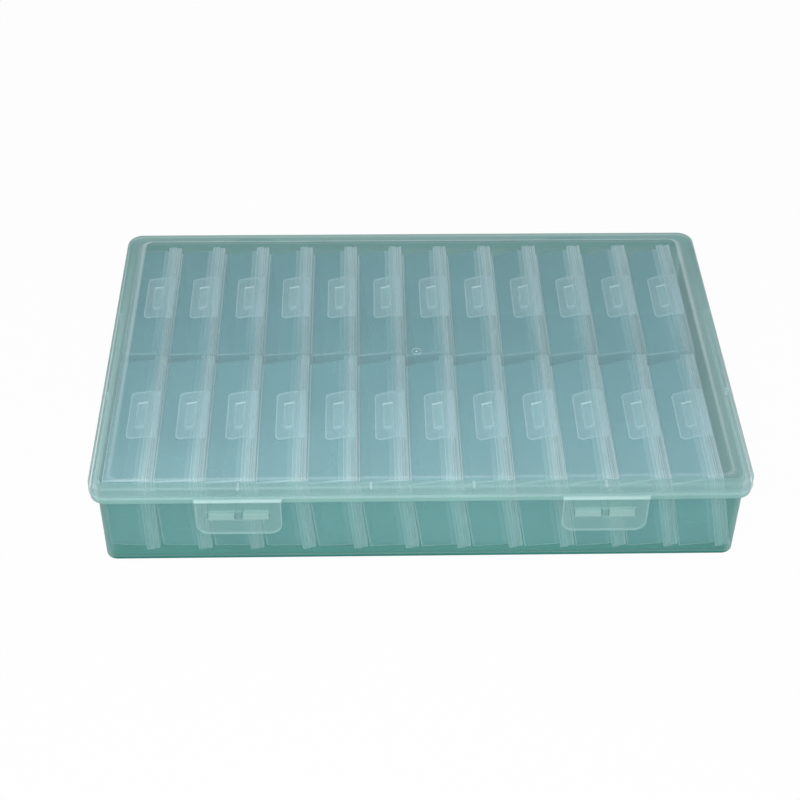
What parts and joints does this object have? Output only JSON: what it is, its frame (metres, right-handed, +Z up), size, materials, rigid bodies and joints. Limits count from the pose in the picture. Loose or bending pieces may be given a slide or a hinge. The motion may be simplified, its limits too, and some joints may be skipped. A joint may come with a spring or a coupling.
{
  "type": "craft storage box",
  "caption": "Shallow clear box with a hinged snap-latch lid, filled with two rows of small hinged cases that stand on edge and lean on one another.",
  "frame": {"origin": "on the ground under the middle of the whole box, hinge knuckles and latch bars included", "axes": "+X to the right along the box's length, -Y towards the two latches at the front, +Z up"},
  "size_m": [0.3318, 0.2258, 0.0573],
  "materials": {
    "base_plastic": "satin, clear frosted",
    "lid_plastic": "satin, clear frosted",
    "latch_plastic": "satin, clear frosted",
    "tray_plastic": "satin, clear frosted",
    "case_lid_plastic": "satin, clear frosted"
  },
  "bodies": {
    "base": {"base": "base_plastic", "case_near_01_tray": "tray_plastic", "case_near_01_lid": "case_lid_plastic", "case_near_02_tray": "tray_plastic", "case_near_02_lid": "case_lid_plastic", "case_near_03_tray": "tray_plastic", "case_near_03_lid": "case_lid_plastic", "case_near_04_tray": "tray_plastic", "case_near_04_lid": "case_lid_plastic", "case_near_05_tray": "tray_plastic", "case_near_05_lid": "case_lid_plastic", "case_near_06_tray": "tray_plastic", "case_near_06_lid": "case_lid_plastic", "case_near_07_tray": "tray_plastic", "case_near_07_lid": "case_lid_plastic", "case_near_08_tray": "tray_plastic", "case_near_08_lid": "case_lid_plastic", "case_near_09_tray": "tray_plastic", "case_near_09_lid": "case_lid_plastic", "case_near_10_tray": "tray_plastic", "case_near_10_lid": "case_lid_plastic", "case_near_11_tray": "tray_plastic", "case_near_11_lid": "case_lid_plastic", "case_near_12_tray": "tray_plastic", "case_near_12_lid": "case_lid_plastic", "case_far_01_tray": "tray_plastic", "case_far_01_lid": "case_lid_plastic", "case_far_02_tray": "tray_plastic", "case_far_02_lid": "case_lid_plastic", "case_far_03_tray": "tray_plastic", "case_far_03_lid": "case_lid_plastic", "case_far_04_tray": "tray_plastic", "case_far_04_lid": "case_lid_plastic", "case_far_05_tray": "tray_plastic", "case_far_05_lid": "case_lid_plastic", "case_far_06_tray": "tray_plastic", "case_far_06_lid": "case_lid_plastic", "case_far_07_tray": "tray_plastic", "case_far_07_lid": "case_lid_plastic", "case_far_08_tray": "tray_plastic", "case_far_08_lid": "case_lid_plastic", "case_far_09_tray": "tray_plastic", "case_far_09_lid": "case_lid_plastic", "case_far_10_tray": "tray_plastic", "case_far_10_lid": "case_lid_plastic", "case_far_11_tray": "tray_plastic", "case_far_11_lid": "case_lid_plastic", "case_far_12_tray": "tray_plastic", "case_far_12_lid": "case_lid_plastic"},
    "lid": {"lid": "lid_plastic"},
    "latch_left": {"latch_left": "latch_plastic"},
    "latch_right": {"latch_right": "latch_plastic"}
  },
  "joints": [
    {"name": "lid_hinge", "type": "hinge", "parent": "base", "child": "lid", "pos_m": [0, 0.1101, 0.04628], "axis": [-1, 0, 0], "range_deg": [0, 105]},
    {"name": "latch_left_hinge", "type": "hinge", "parent": "lid", "child": "latch_left", "pos_m": [-0.0914, -0.11185, 0.04908], "axis": [-1, 0, 0], "range_deg": [0, 95]},
    {"name": "latch_right_hinge", "type": "hinge", "parent": "lid", "child": "latch_right", "pos_m": [0.0914, -0.11185, 0.04908], "axis": [-1, 0, 0], "range_deg": [0, 95]}
  ]
}
